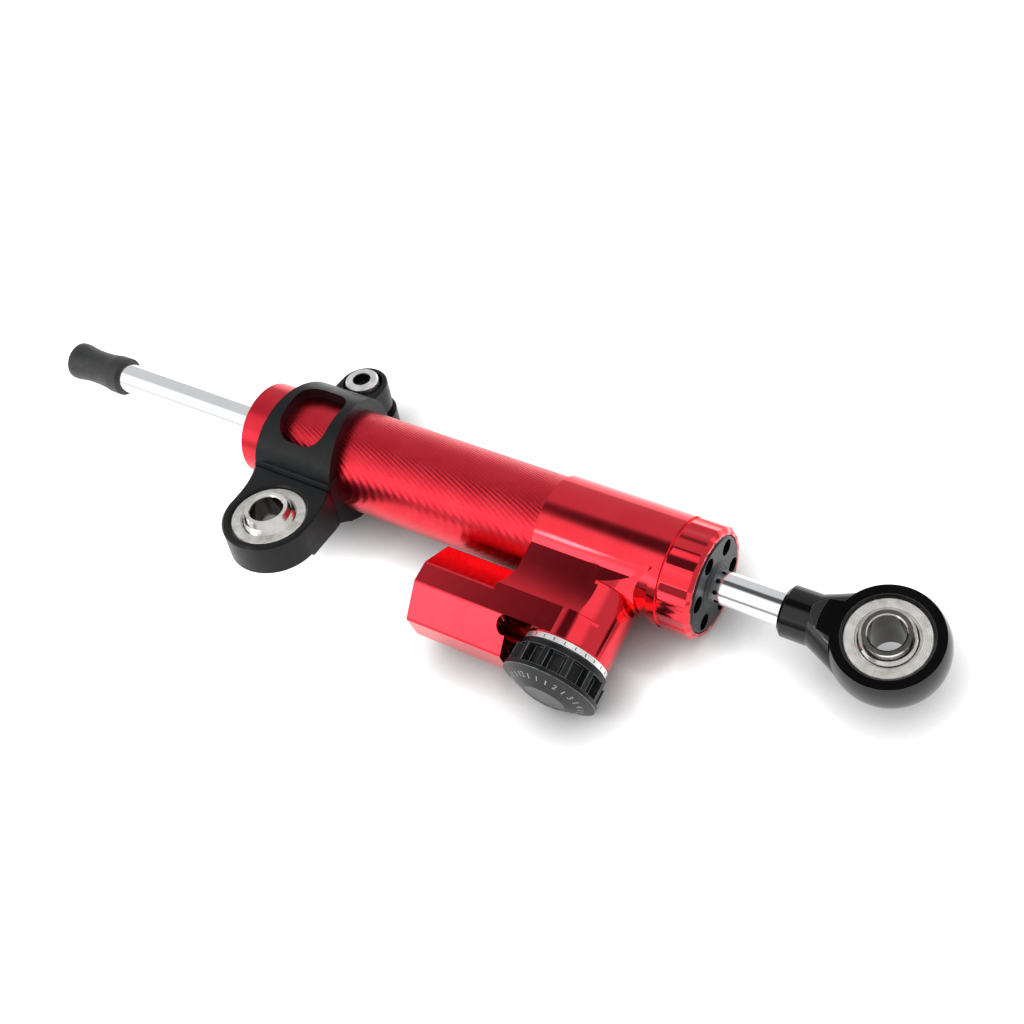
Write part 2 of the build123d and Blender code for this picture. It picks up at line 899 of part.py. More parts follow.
def adjuster_knob():
    skirt_top = knob_bottom + knob_skirt_height
    flange_top = knob_flange_bottom + knob_flange_height
    disc_seat = knob_face - knob_disc_recess - knob_disc_depth
    disc_hole = knob_disc_radius + press_gap
    body = turned([
        (knob_bottom, spindle_radius + press_gap),
        (knob_bottom, knob_skirt_radius),
        (skirt_top, knob_skirt_radius),
        (skirt_top, knob_core_radius),
        (knob_flange_bottom, knob_core_radius),
        (knob_flange_bottom, knob_flange_radius),
        (flange_top, knob_flange_radius),
        (knob_face, disc_hole + knob_disc_recess),
        (knob_face, disc_hole),
        (disc_seat, disc_hole),
        (disc_seat, knob_screw_head_radius + seat_gap),
        (spindle_top, knob_screw_head_radius + seat_gap),
        (spindle_top, spindle_radius + press_gap),
    ])
    rib_height = knob_flange_bottom - skirt_top
    rib_half = 180 / knob_ribs * knob_rib_share
    tip_half = knob_rib_radius * sin(radians(rib_half * knob_rib_tip_share))
    root_half = knob_core_radius * sin(radians(rib_half))
    root = knob_core_radius - knob_disc_recess
    profile = make_face(Polyline(
        (root, -root_half), (knob_rib_radius, -tip_half), (knob_rib_radius, tip_half), (root, root_half),
        close=True,
    ))
    rib = extrude(across_x(skirt_top) * profile, rib_height)
    for index in range(knob_ribs):
        body += Rot(360 / knob_ribs * index, 0, 0) * rib
    for y, z in detents():
        body -= Pos(0, y, z) * bar(
            detent_ball_radius + press_gap,
            knob_bottom - overrun,
            detent_ball_x + detent_ball_radius + detent_spring_length + press_gap,
        )
    return about_adjuster(body)


def knob_screw():
    head = knob_screw_head_height
    body = turned([
        (spindle_top - knob_screw_length + seat_gap, 0),
        (spindle_top - knob_screw_length + seat_gap, knob_screw_radius),
        (spindle_top + press_gap, knob_screw_radius),
        (spindle_top + press_gap, knob_screw_head_radius),
        (spindle_top + press_gap + head, knob_screw_head_radius),
        (spindle_top + press_gap + head, 0),
    ])
    return about_adjuster(body)


def knob_centre_disc():
    top = knob_face - knob_disc_recess
    return about_adjuster(bar(knob_disc_radius, top - knob_disc_depth + press_gap, top))


# Clamp, in its own frame

def clamp_ring():
    """Ring round the tube, narrower towards its ears."""
    half = clamp_half_width
    height = clamp_ring_radius * 2 + overrun
    far = clamp_ring_radius + overrun
    outline = Polyline(
        (clamp_x - half, -far),
        (clamp_x - half, -clamp_root),
        (clamp_x - lower_ear_radius, ear_reach),
        (clamp_x + lower_ear_radius, ear_reach),
        (clamp_x + half, -clamp_root),
        (clamp_x + half, -far),
        close=True,
    )
    plan = extrude(Plane.XY.offset(-height / 2) * make_face(outline), height)
    return plan & bar(clamp_ring_radius, clamp_x - half, clamp_x + half)


def clamp_ear(radius, height, direction):
    middle = height / 2 * direction
    ear = Pos(clamp_x, ear_reach, middle) * Cylinder(radius, height)
    return ear + Pos(clamp_x, ear_reach / 2, middle) * Box(radius * 2, ear_reach, height)


def clamp_arm():
    """Flat arm and eye: the arm flares from the ring into the eye's sides, with a gusset below it."""
    left = clamp_eye_x - clamp_eye_radius
    right = clamp_eye_x + clamp_eye_radius
    root_left = clamp_x - clamp_half_width
    root_right = clamp_x + clamp_half_width
    inside = -clamp_root / 2
    flare = -clamp_root - (clamp_eye_reach - clamp_root) * clamp_flare_share
    plan = make_face([
        Bezier((root_left, -clamp_root), (left, flare), (left, -clamp_eye_reach)),
        Line((left, -clamp_eye_reach), (right, -clamp_eye_reach)),
        Bezier((right, -clamp_eye_reach), (right, flare), (root_right, -clamp_root)),
        Line((root_right, -clamp_root), (root_right, inside)),
        Line((root_right, inside), (root_left, inside)),
        Line((root_left, inside), (root_left, -clamp_root)),
    ])
    gusset_start = clamp_gusset_lead - clamp_eye_reach
    side = make_face([
        Line((inside, clamp_eye_top), (-clamp_eye_reach, clamp_eye_top)),
        Line((-clamp_eye_reach, clamp_eye_top), (-clamp_eye_reach, -clamp_eye_bottom)),
        Line((-clamp_eye_reach, -clamp_eye_bottom), (gusset_start, -clamp_eye_bottom)),
        TangentArc(
            (gusset_start, -clamp_eye_bottom), (-clamp_gusset_end, -clamp_gusset_end_drop), tangent=(1, 0)
        ),
        Line((-clamp_gusset_end, -clamp_gusset_end_drop), (inside, -clamp_gusset_end_drop)),
        Line((inside, -clamp_gusset_end_drop), (inside, clamp_eye_top)),
    ])
    arm = extrude(Plane.XY.offset(-clamp_ring_radius) * plan, clamp_ring_radius * 2)
    arm = arm & extrude(across_x(left - clamp_root) * side, clamp_root * 2 + clamp_eye_radius * 2)
    arm -= Pos(clamp_eye_x, -clamp_eye_reach, -clamp_eye_bottom - clamp_root / 2) * Cylinder(
        clamp_spot_face_radius, clamp_root
    )
    lower = clamp_eye_lower_edge
    eye = about_bore(turned([
        (-clamp_eye_bottom, 0),
        (-clamp_eye_bottom, clamp_eye_radius - lower),
        (lower - clamp_eye_bottom, clamp_eye_radius),
        (clamp_eye_top, clamp_eye_radius),
        (clamp_eye_top, 0),
    ]))
    arm += Pos(clamp_eye_x, -clamp_eye_reach, 0) * eye
    return chamfer(arm.faces().sort_by(Axis.Z)[-1].edges(), clamp_eye_edge)


def tube_clamp():
    half = clamp_half_width
    height = clamp_ring_radius * 2
    upper_ear = clamp_ear(ear_radius, ear_top, 1)
    upper_ear = fillet(upper_ear.faces().sort_by(Axis.Z)[-1].edges(), ear_edge)
    body = clamp_ring() + upper_ear + clamp_ear(lower_ear_radius, ear_bottom, -1) + clamp_arm()
    # Groove where the flat land meets the ring.
    groove_height = clamp_eye_top + clamp_land_groove_radius - clamp_land_groove_depth
    body -= Pos(clamp_x, -clamp_land_groove_place, groove_height) * Rot(0, 90, 0) * Cylinder(
        clamp_land_groove_radius, (half + overrun) * 2
    )
    # Window through the ring's top.
    body -= extrude(
        Pos(clamp_x, -clamp_window_middle, 0)
        * RectangleRounded(clamp_window_half_width * 2, clamp_window_half_length * 2, clamp_window_corner),
        height,
    )
    body -= bar(tube_radius + running_gap, clamp_x - half - overrun, clamp_x + half + overrun)
    # Split between the ears.
    split_reach = ear_reach + lower_ear_radius + overrun
    body -= Pos(clamp_x, split_reach / 2, 0) * Box(half * 2, split_reach, split_width)
    # Clear hole and counterbore in the upper ear, thread in the lower one.
    body -= Pos(clamp_x, ear_reach, height / 2) * Cylinder(screw_radius + screw_hole_gap, height)
    body -= Pos(clamp_x, ear_reach, -height / 2) * Cylinder(screw_radius + press_gap, height)
    body -= Pos(clamp_x, ear_reach, screw_seat + height / 2) * Cylinder(counterbore_radius, height)
    body -= Pos(clamp_eye_x, -clamp_eye_reach, 0) * race_seat(clamp_eye_top, eye_bore_chamfer)
    return in_clamp(body)


def clamp_screw():
    head_bottom = screw_seat + press_gap
    head_top = head_bottom + screw_head_height
    shank_bottom = -ear_bottom + screw_head_edge
    profile = about_bore(turned([
        (shank_bottom, 0),
        (shank_bottom, screw_radius),
        (head_bottom, screw_radius),
        (head_bottom, screw_head_radius),
        (head_top - screw_head_edge, screw_head_radius),
        (head_top, screw_head_radius - screw_head_edge),
        (head_top, 0),
    ]))
    socket = Plane.XY.offset(head_top - socket_depth) * RegularPolygon(socket_size / 2, 6, major_radius=False)
    profile -= extrude(socket, socket_depth + overrun)
    return in_clamp(Pos(clamp_x, ear_reach, 0) * profile)


def at_clamp_eye(shape):
    return in_clamp(Pos(clamp_eye_x, -clamp_eye_reach, 0) * shape)


plug, plug_ring = sealed_disc(reservoir_start_x + plug_recess, plug_length)
reservoir_piston, reservoir_piston_ring = floating_disc(
    reservoir_start_x + reservoir_piston_place, reservoir_piston_length
)

parts = {
    "head_body": head_body(),
    "damper_tube": damper_tube(),
    "rear_end_cap": rear_end_cap(),
    "head_gland": head_gland(),
    "head_bush": rod_bush(gland_inner_x, 1),
    "head_seal": rod_seal(gland_inner_x, 1),
    "head_wiper": rod_wiper(gland_outer_x, 1),
    "rear_bush": rod_bush(rear_inner_x, -1),
    "rear_seal": rod_seal(rear_inner_x, -1),
    "rear_wiper": rod_wiper(rear_outer_x, -1),
    "gland_o_ring": o_ring(gland_radius - ring_section, gland_ring_x),
    "rear_cap_o_ring": o_ring(tube_bore_radius - press_gap - ring_section, rear_ring_x),
    "piston": piston(),
    "piston_band": piston_band(),
    "piston_clips": piston_clips(),
    "piston_rod": piston_rod(),
    "rod_bump_cap": rod_bump_cap(),
    "rod_end_housing": rod_end_housing(),
    "rod_end_race": bearing_race(),
    "rod_end_ball": bearing_ball(),
    "tube_clamp": tube_clamp(),
    "clamp_screw": clamp_screw(),
    "clamp_race": at_clamp_eye(bearing_race()),
    "clamp_ball": at_clamp_eye(bearing_ball()),
    "reservoir_plug": plug,
    "plug_o_ring": plug_ring,
    "plug_circlip": plug_circlip(),
    "reservoir_piston": reservoir_piston,
    "reservoir_piston_ring": reservoir_piston_ring,
    "adjuster_housing": adjuster_housing(),
    "spindle_o_ring": spindle_o_ring(),
    "adjuster_spindle": adjuster_spindle(),
    "adjuster_needle": adjuster_needle(),
    "index_ring": index_ring(),
    "adjuster_knob": adjuster_knob(),
    "knob_screw": knob_screw(),
    "knob_centre_disc": knob_centre_disc(),
    "detent_balls": detent_balls(),
    "detent_springs": detent_springs(),
}

os.makedirs("parts", exist_ok=True)
for name, shape in parts.items():
    export_step(shape, f"parts/{name}.step")
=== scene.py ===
import bpy
import bmesh
import json
from math import atan2, cos, pi, radians, sin, tan, tau
from mathutils import Matrix, Vector


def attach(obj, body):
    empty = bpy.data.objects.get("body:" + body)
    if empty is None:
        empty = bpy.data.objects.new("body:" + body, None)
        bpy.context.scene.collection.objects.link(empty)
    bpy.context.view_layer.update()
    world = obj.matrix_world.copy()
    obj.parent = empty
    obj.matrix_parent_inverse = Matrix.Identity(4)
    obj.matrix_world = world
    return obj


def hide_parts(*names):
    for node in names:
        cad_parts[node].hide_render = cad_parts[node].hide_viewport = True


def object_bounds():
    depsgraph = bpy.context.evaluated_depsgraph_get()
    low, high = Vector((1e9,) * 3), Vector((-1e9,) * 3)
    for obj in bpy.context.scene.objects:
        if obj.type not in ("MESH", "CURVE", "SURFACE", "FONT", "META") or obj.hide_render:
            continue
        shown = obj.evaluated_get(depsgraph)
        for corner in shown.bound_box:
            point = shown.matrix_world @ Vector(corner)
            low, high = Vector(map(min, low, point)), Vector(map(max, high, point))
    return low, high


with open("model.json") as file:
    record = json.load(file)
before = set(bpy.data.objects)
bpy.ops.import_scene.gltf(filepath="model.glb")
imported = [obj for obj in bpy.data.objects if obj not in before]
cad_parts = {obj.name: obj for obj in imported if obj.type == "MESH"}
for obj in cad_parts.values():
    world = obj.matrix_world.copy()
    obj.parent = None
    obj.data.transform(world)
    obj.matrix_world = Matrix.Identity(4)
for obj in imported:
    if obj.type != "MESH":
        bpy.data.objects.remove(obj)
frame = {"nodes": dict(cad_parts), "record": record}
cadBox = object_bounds()
nodes = frame["nodes"]
bodyOf = {node: body for body, names in frame["record"]["behaviour"]["bodies"].items() for node in names}
print("frame loaded:", len(nodes), "nodes")

mm = 0.001

# Places of the damper, in millimetres and degrees, as the solids have them
place = {
    "adjusterX": -64.7,
    "clampEyeX": -146.3,
    "clampEyeReach": 29.0,
    "clampTilt": 16.0,
    "screwX": -149.8,
    "screwReach": 17.0,
    "boreRadius": 4.1,
    "socketRadius": 2.33,
    "flatsStart": -48.9,
    "flats": 20,
}
clampTurn = Matrix.Rotation(radians(-place["clampTilt"]), 4, "X")
clampEye = clampTurn @ Vector((place["clampEyeX"], -place["clampEyeReach"], 0)) * mm
clampScrew = clampTurn @ Vector((place["screwX"], place["screwReach"], 0)) * mm
clampBearingTurn = (radians(place["clampTilt"]), 0, 0)

# The camera, from the photograph's perspective. spot, near and far are in metres
camera = {
    "spot": (0.06665, -0.1178, 0.2992),
    "right": (0.843, 0.4652, -0.2714),
    "up": (-0.298, 0.8222, 0.4850),
    "back": (0.449, -0.3280, 0.8314),
    "lens": 52.70,
    "sensor": 36.0,
    "near": 0.01,
    "far": 20,
}


def addCamera():
    data = bpy.data.cameras.new("camera")
    data.lens = camera["lens"]
    data.sensor_width = camera["sensor"]
    data.clip_start = camera["near"]
    data.clip_end = camera["far"]
    obj = bpy.data.objects.new("camera", data)
    bpy.context.scene.collection.objects.link(obj)
    turn = Matrix((camera["right"], camera["up"], camera["back"])).transposed().to_quaternion()
    obj.rotation_mode = "QUATERNION"
    obj.rotation_quaternion = turn
    obj.location = camera["spot"]
    bpy.context.scene.camera = obj


# Values of the finishes, with lengths in millimetres and colours as linear shares.
# patch is the size of the soft patches in which the colour goes from dark to light.
# uneven is the lowest and highest roughness and the size of its patches, which stretch lengthens.
# grain is the size and depth of a fine bump, and rings the pitch and depth of turned rings.
# bore is the share of the colour that is left inside a bore, as painted shade. sockets are other inputs of
# the shader.
look = {
    "redGloss": {
        "dark": (0.80, 0.030, 0.046), "light": (0.86, 0.040, 0.060), "patch": 9,
        "metallic": 1.0, "roughness": 0.11, "uneven": (0.09, 0.14, 2.5), "grain": (0.6, 0.0012),
        "sockets": {"Coat Weight": 0.15, "Coat Roughness": 0.06},
        "fluteDepth": 0.09,
    },
    "redTurned": {
        "dark": (0.66, 0.026, 0.042), "light": (0.74, 0.036, 0.056), "patch": 5,
        "metallic": 1.0, "roughness": 0.30, "uneven": (0.26, 0.34, 1.2), "stretch": (0.2, 1, 1),
        "wideLines": {"direction": (1.0, 2.95, -1.6), "pitch": 0.72, "depth": 0.022, "waver": 0.4},
        "fineLines": {"direction": (1, 0, 0), "pitch": 0.22, "depth": 0.003, "waver": 0},
    },
    "redSatin": {
        "dark": (0.66, 0.026, 0.042), "light": (0.74, 0.036, 0.056), "patch": 6,
        "metallic": 1.0, "roughness": 0.24,
        "fineLines": {"direction": (1, 0, 0), "pitch": 0.2, "depth": 0.002, "waver": 0.3},
    },
    # painted highlight: the lighter colour on the rounded edges of the red block
    "redEdgeHighlight": {
        "dark": (0.95, 0.26, 0.24), "light": (1.0, 0.42, 0.36), "patch": 1.5,
        "metallic": 1.0, "roughness": 0.22, "uneven": (0.15, 0.30, 0.8),
    },
    "blackAnodised": {
        "dark": (0.005, 0.0056, 0.0066), "light": (0.009, 0.010, 0.012), "patch": 4,
        "metallic": 0.0, "roughness": 0.32, "uneven": (0.28, 0.40, 1.5), "grain": (0.25, 0.003),
        "sockets": {"Specular IOR Level": 0.24},
    },
    # painted highlight: the lighter colour on the rounded edges of the black parts
    "blackEdgeHighlight": {
        "dark": (0.10, 0.105, 0.115), "light": (0.24, 0.25, 0.27), "patch": 1.2,
        "metallic": 0.7, "roughness": 0.3, "uneven": (0.22, 0.38, 0.7),
    },
    "blackGland": {
        "dark": (0.005, 0.0056, 0.0066), "light": (0.009, 0.010, 0.012), "patch": 3,
        "metallic": 0.0, "roughness": 0.28, "grain": (0.2, 0.003),
        "sockets": {"Specular IOR Level": 0.3},
    },
    "blackSteel": {
        "dark": (0.0008, 0.0008, 0.001), "light": (0.002, 0.002, 0.0024), "patch": 8,
        "metallic": 0.0, "roughness": 0.10, "uneven": (0.08, 0.16, 3),
        "sockets": {"Specular IOR Level": 0.42},
    },
    "blackRubber": {
        "dark": (0.014, 0.0145, 0.016), "light": (0.024, 0.025, 0.027), "patch": 1.5,
        "metallic": 0.0, "roughness": 0.5, "uneven": (0.42, 0.58, 0.8), "grain": (0.3, 0.01),
        "sockets": {"Specular IOR Level": 0.7},
    },
    "chromeRod": {
        "dark": (0.90, 0.92, 0.95), "light": (0.95, 0.96, 0.98), "patch": 12,
        "metallic": 1.0, "roughness": 0.12, "uneven": (0.07, 0.13, 2), "stretch": (0.1, 1, 1),
    },
    "bearingSteel": {
        "dark": (0.70, 0.67, 0.62), "light": (1.0, 0.99, 0.96), "patch": 2.2,
        "metallic": 1.0, "roughness": 0.42, "uneven": (0.36, 0.50, 1), "rings": (0.42, 0.02),
    },
    "ballSteel": {
        "dark": (0.70, 0.67, 0.62), "light": (1.0, 0.99, 0.96), "patch": 4,
        "metallic": 1.0, "roughness": 0.1, "uneven": (0.07, 0.14, 1), "rings": (0.3, 0.0008), "bore": 0.16,
    },
    "screwSteel": {
        "dark": (0.74, 0.74, 0.75), "light": (0.98, 0.98, 0.98), "patch": 2,
        "metallic": 1.0, "roughness": 0.4, "uneven": (0.34, 0.46, 0.8), "rings": (0.35, 0.012), "bore": 0.06,
    },
    "brightSteel": {
        "dark": (0.70, 0.67, 0.62), "light": (0.74, 0.74, 0.75), "patch": 2,
        "metallic": 1.0, "roughness": 0.16, "uneven": (0.12, 0.22, 0.8), "grain": (0.2, 0.002),
    },
    "silverRing": {
        "dark": (0.94, 0.94, 0.95), "light": (0.98, 0.98, 0.98), "patch": 3,
        "metallic": 1.0, "roughness": 0.5, "uneven": (0.46, 0.56, 0.6),
    },
    "knobBlack": {
        "dark": (0.008, 0.0085, 0.009), "light": (0.014, 0.0145, 0.0155), "patch": 2,
        "metallic": 0.0, "roughness": 0.36, "grain": (0.2, 0.004),
        "sockets": {"Specular IOR Level": 0.26},
    },
    "knobGrey": {
        "dark": (0.10, 0.10, 0.105), "light": (0.14, 0.14, 0.145), "patch": 1.5,
        "metallic": 0.4, "roughness": 0.42, "grain": (0.15, 0.003),
    },
    "printWhite": {
        "dark": (0.72, 0.72, 0.72), "light": (0.84, 0.84, 0.84), "patch": 0.4,
        "metallic": 0.0, "roughness": 0.5,
    },
    "markGrey": {
        "dark": (0.07, 0.07, 0.08), "light": (0.14, 0.14, 0.15), "patch": 0.3,
        "metallic": 0.0, "roughness": 0.5,
    },
    "bronze": {
        "dark": (0.54, 0.378, 0.198), "light": (0.60, 0.42, 0.22), "patch": 2,
        "metallic": 1.0, "roughness": 0.35, "uneven": (0.28, 0.42, 1),
    },
    "brass": {
        "dark": (0.675, 0.54, 0.27), "light": (0.75, 0.60, 0.30), "patch": 2,
        "metallic": 1.0, "roughness": 0.25, "uneven": (0.20, 0.30, 1),
    },
    "ptfe": {
        "dark": (0.085, 0.17, 0.187), "light": (0.10, 0.20, 0.22), "patch": 1.5,
        "metallic": 0.0, "roughness": 0.45, "uneven": (0.3825, 0.5175, 1),
    },
}

# A noise texture keeps mostly between low and high, so tones are spread between these two.
# The waver of lines is a noise as wide as some pitches. A bore's painted shade fades in round its wall,
# from shadeInside to shadeOutside, in millimetres.
texture = {
    "low": 0.3,
    "high": 0.7,
    "toneDetail": 3.0,
    "fineDetail": 4.0,
    "waverDetail": 1.0,
    "waverPitches": 3,
    "shadeInside": 0.05,
    "shadeOutside": 0.1,
}


# Node trees: short ways to add a node and a noise texture
def addNode(tree, kind, **values):
    node = tree.nodes.new(kind)
    for key, value in values.items():
        setattr(node, key, value)
    return node


def addNoise(tree, vector, size, detail):
    noise = addNode(tree, "ShaderNodeTexNoise")
    noise.inputs["Scale"].default_value = 1 / (size * mm)
    noise.inputs["Detail"].default_value = detail
    tree.links.new(vector, noise.inputs["Vector"])
    return noise.outputs["Fac"]


def newMaterial(name, colour, metallic, roughness):
    material = bpy.data.materials.new(name)
    material.use_nodes = True
    shader = material.node_tree.nodes["Principled BSDF"]
    shader.inputs["Base Color"].default_value = (*colour, 1)
    shader.inputs["Metallic"].default_value = metallic
    shader.inputs["Roughness"].default_value = roughness
    return material


def objectVector(tree, origin=(0, 0, 0), turn=(0, 0, 0)):
    # object coordinates, moved so that origin is at zero and then turned
    coordinates = addNode(tree, "ShaderNodeTexCoord")
    shift = addNode(tree, "ShaderNodeVectorMath", operation="SUBTRACT")
    shift.inputs[1].default_value = origin
    tree.links.new(coordinates.outputs["Object"], shift.inputs[0])
    mapping = addNode(tree, "ShaderNodeMapping")
    mapping.inputs["Rotation"].default_value = turn
    tree.links.new(shift.outputs[0], mapping.inputs["Vector"])
    return mapping.outputs["Vector"]


def varyColour(material, dark, light, size):
    # soft patches of two tones of the colour
    tree = material.node_tree
    shader = tree.nodes["Principled BSDF"]
    ramp = addNode(tree, "ShaderNodeValToRGB")
    first, last = ramp.color_ramp.elements
    first.position = texture["low"]
    last.position = texture["high"]
    first.color = (*dark, 1)
    last.color = (*light, 1)
    tree.links.new(addNoise(tree, objectVector(tree), size, texture["toneDetail"]), ramp.inputs["Fac"])
    tree.links.new(ramp.outputs["Color"], shader.inputs["Base Color"])


def varyRoughness(material, low, high, size, stretch):
    tree = material.node_tree
    shader = tree.nodes["Principled BSDF"]
    mapping = addNode(tree, "ShaderNodeMapping")
    mapping.inputs["Scale"].default_value = stretch
    tree.links.new(objectVector(tree), mapping.inputs["Vector"])
    spread = addNode(tree, "ShaderNodeMapRange")
    spread.inputs["From Min"].default_value = texture["low"]
    spread.inputs["From Max"].default_value = texture["high"]
    spread.inputs["To Min"].default_value = low
    spread.inputs["To Max"].default_value = high
    noise = addNoise(tree, mapping.outputs["Vector"], size, texture["fineDetail"])
    tree.links.new(noise, spread.inputs["Value"])
    tree.links.new(spread.outputs["Result"], shader.inputs["Roughness"])


def addBump(material, height, depth):
    # puts a height on the surface, with the depth in millimetres. Bumps add up
    tree = material.node_tree
    shader = tree.nodes["Principled BSDF"]
    bump = addNode(tree, "ShaderNodeBump")
    bump.inputs["Strength"].default_value = 1.0
    bump.inputs["Distance"].default_value = depth * mm
    if shader.inputs["Normal"].is_linked:
        tree.links.new(shader.inputs["Normal"].links[0].from_socket, bump.inputs["Normal"])
    tree.links.new(height, bump.inputs["Height"])
    tree.links.new(bump.outputs["Normal"], shader.inputs["Normal"])


def grainBump(material, size, depth):
    tree = material.node_tree
    addBump(material, addNoise(tree, objectVector(tree), size, texture["fineDetail"]), depth)


def waveBump(material, phase, depth):
    height = addNode(material.node_tree, "ShaderNodeMath", operation="SINE")
    material.node_tree.links.new(phase, height.inputs[0])
    addBump(material, height.outputs[0], depth)


def lineBump(material, direction, pitch, depth, waver):
    # fine parallel lines across a direction, such as the marks of a turning tool along a shaft
    tree = material.node_tree
    coordinates = objectVector(tree)
    along = addNode(tree, "ShaderNodeVectorMath", operation="DOT_PRODUCT")
    along.inputs[1].default_value = Vector(direction).normalized() * tau / (pitch * mm)
    tree.links.new(coordinates, along.inputs[0])
    phase = along.outputs["Value"]
    if waver:
        noise = addNoise(tree, coordinates, pitch * texture["waverPitches"], texture["waverDetail"])
        shift = addNode(tree, "ShaderNodeMath", operation="MULTIPLY_ADD")
        shift.inputs[1].default_value = waver
        tree.links.new(noise, shift.inputs[0])
        tree.links.new(phase, shift.inputs[2])
        phase = shift.outputs[0]
    waveBump(material, phase, depth)


def axisDistance(tree, origin, turn):
    # distance from the Z axis of a place
    flat = addNode(tree, "ShaderNodeVectorMath", operation="MULTIPLY")
    flat.inputs[1].default_value = (1, 1, 0)
    tree.links.new(objectVector(tree, origin, turn), flat.inputs[0])
    length = addNode(tree, "ShaderNodeVectorMath", operation="LENGTH")
    tree.links.new(flat.outputs[0], length.inputs[0])
    return length.outputs["Value"]


def ringBump(material, origin, turn, pitch, depth):
    # rings round the Z axis of a place, as facing on a lathe leaves them
    tree = material.node_tree
    phase = addNode(tree, "ShaderNodeMath", operation="MULTIPLY")
    phase.inputs[1].default_value = tau / (pitch * mm)
    tree.links.new(axisDistance(tree, origin, turn), phase.inputs[0])
    waveBump(material, phase.outputs[0], depth)


def paintBoreShade(material, origin, turn, radius, share):
    # painted shade: the colour sinks to a share of itself inside a bore, where little light gets in
    tree = material.node_tree
    shader = tree.nodes["Principled BSDF"]
    spread = addNode(tree, "ShaderNodeMapRange", interpolation_type="SMOOTHSTEP")
    spread.inputs["From Min"].default_value = (radius - texture["shadeInside"]) * mm
    spread.inputs["From Max"].default_value = (radius + texture["shadeOutside"]) * mm
    spread.inputs["To Min"].default_value = share
    tree.links.new(axisDistance(tree, origin, turn), spread.inputs["Value"])
    scale = addNode(tree, "ShaderNodeVectorMath", operation="SCALE")
    tree.links.new(shader.inputs["Base Color"].links[0].from_socket, scale.inputs[0])
    tree.links.new(spread.outputs["Result"], scale.inputs["Scale"])
    tree.links.new(scale.outputs[0], shader.inputs["Base Color"])


def fluteBump(material, count, start, depth):
    # shallow flutes round the X axis, from start towards +X
    tree = material.node_tree
    axes = addNode(tree, "ShaderNodeSeparateXYZ")
    tree.links.new(objectVector(tree), axes.inputs[0])
    angle = addNode(tree, "ShaderNodeMath", operation="ARCTAN2")
    tree.links.new(axes.outputs["Z"], angle.inputs[0])
    tree.links.new(axes.outputs["Y"], angle.inputs[1])
    phase = addNode(tree, "ShaderNodeMath", operation="MULTIPLY")
    phase.inputs[1].default_value = count
    tree.links.new(angle.outputs[0], phase.inputs[0])
    wave = addNode(tree, "ShaderNodeMath", operation="COSINE")
    tree.links.new(phase.outputs[0], wave.inputs[0])
    begin = addNode(tree, "ShaderNodeMath", operation="GREATER_THAN")
    begin.inputs[1].default_value = start * mm
    tree.links.new(axes.outputs["X"], begin.inputs[0])
    both = addNode(tree, "ShaderNodeMath", operation="MULTIPLY")
    tree.links.new(wave.outputs[0], both.inputs[0])
    tree.links.new(begin.outputs[0], both.inputs[1])
    addBump(material, both.outputs[0], depth)


# Materials: what all finishes share, and a function for each that has more
def plainFinish(kind, name=None):
    values = look[kind]
    material = newMaterial(name or kind, values["light"], values["metallic"], values["roughness"])
    shader = material.node_tree.nodes["Principled BSDF"]
    for socket, value in values.get("sockets", {}).items():
        shader.inputs[socket].default_value = value
    varyColour(material, values["dark"], values["light"], values["patch"])
    if "uneven" in values:
        varyRoughness(material, *values["uneven"], values.get("stretch", (1, 1, 1)))
    if "grain" in values:
        grainBump(material, *values["grain"])
    return material


def redGloss():
    material = plainFinish("redGloss")
    fluteBump(material, place["flats"], place["flatsStart"], look["redGloss"]["fluteDepth"])
    return material


def redTurned():
    material = plainFinish("redTurned")
    lineBump(material, **look["redTurned"]["wideLines"])
    lineBump(material, **look["redTurned"]["fineLines"])
    return material


def redSatin():
    material = plainFinish("redSatin")
    lineBump(material, **look["redSatin"]["fineLines"])
    return material


def ringedSteel(kind, name, origin=(0, 0, 0), turn=(0, 0, 0), boreRadius=0):
    # faced steel round an axis, with painted shade inside its bore
    values = look[kind]
    material = plainFinish(kind, name)
    ringBump(material, origin, turn, *values["rings"])
    # painted shade inside the bore
    if "bore" in values:
        paintBoreShade(material, origin, turn, boreRadius, values["bore"])
    return material


finish = {
    "redGloss": redGloss(),
    "redTurned": redTurned(),
    "redSatin": redSatin(),
    "rodRace": ringedSteel("bearingSteel", "rodRace"),
    "rodBall": ringedSteel("ballSteel", "rodBall", boreRadius=place["boreRadius"]),
    "clampRace": ringedSteel("bearingSteel", "clampRace", clampEye, clampBearingTurn),
    "clampBall": ringedSteel("ballSteel", "clampBall", clampEye, clampBearingTurn, place["boreRadius"]),
    "screwSteel": ringedSteel(
        "screwSteel", "screwSteel", clampScrew, clampBearingTurn, place["socketRadius"]
    ),
}
for kind in (
    "redEdgeHighlight", "blackEdgeHighlight", "blackAnodised", "blackGland", "blackSteel", "blackRubber", "chromeRod",
    "brightSteel", "silverRing", "knobBlack", "knobGrey", "printWhite", "markGrey", "bronze", "brass", "ptfe",
):
    finish[kind] = plainFinish(kind)
print("materials made:", len(finish))

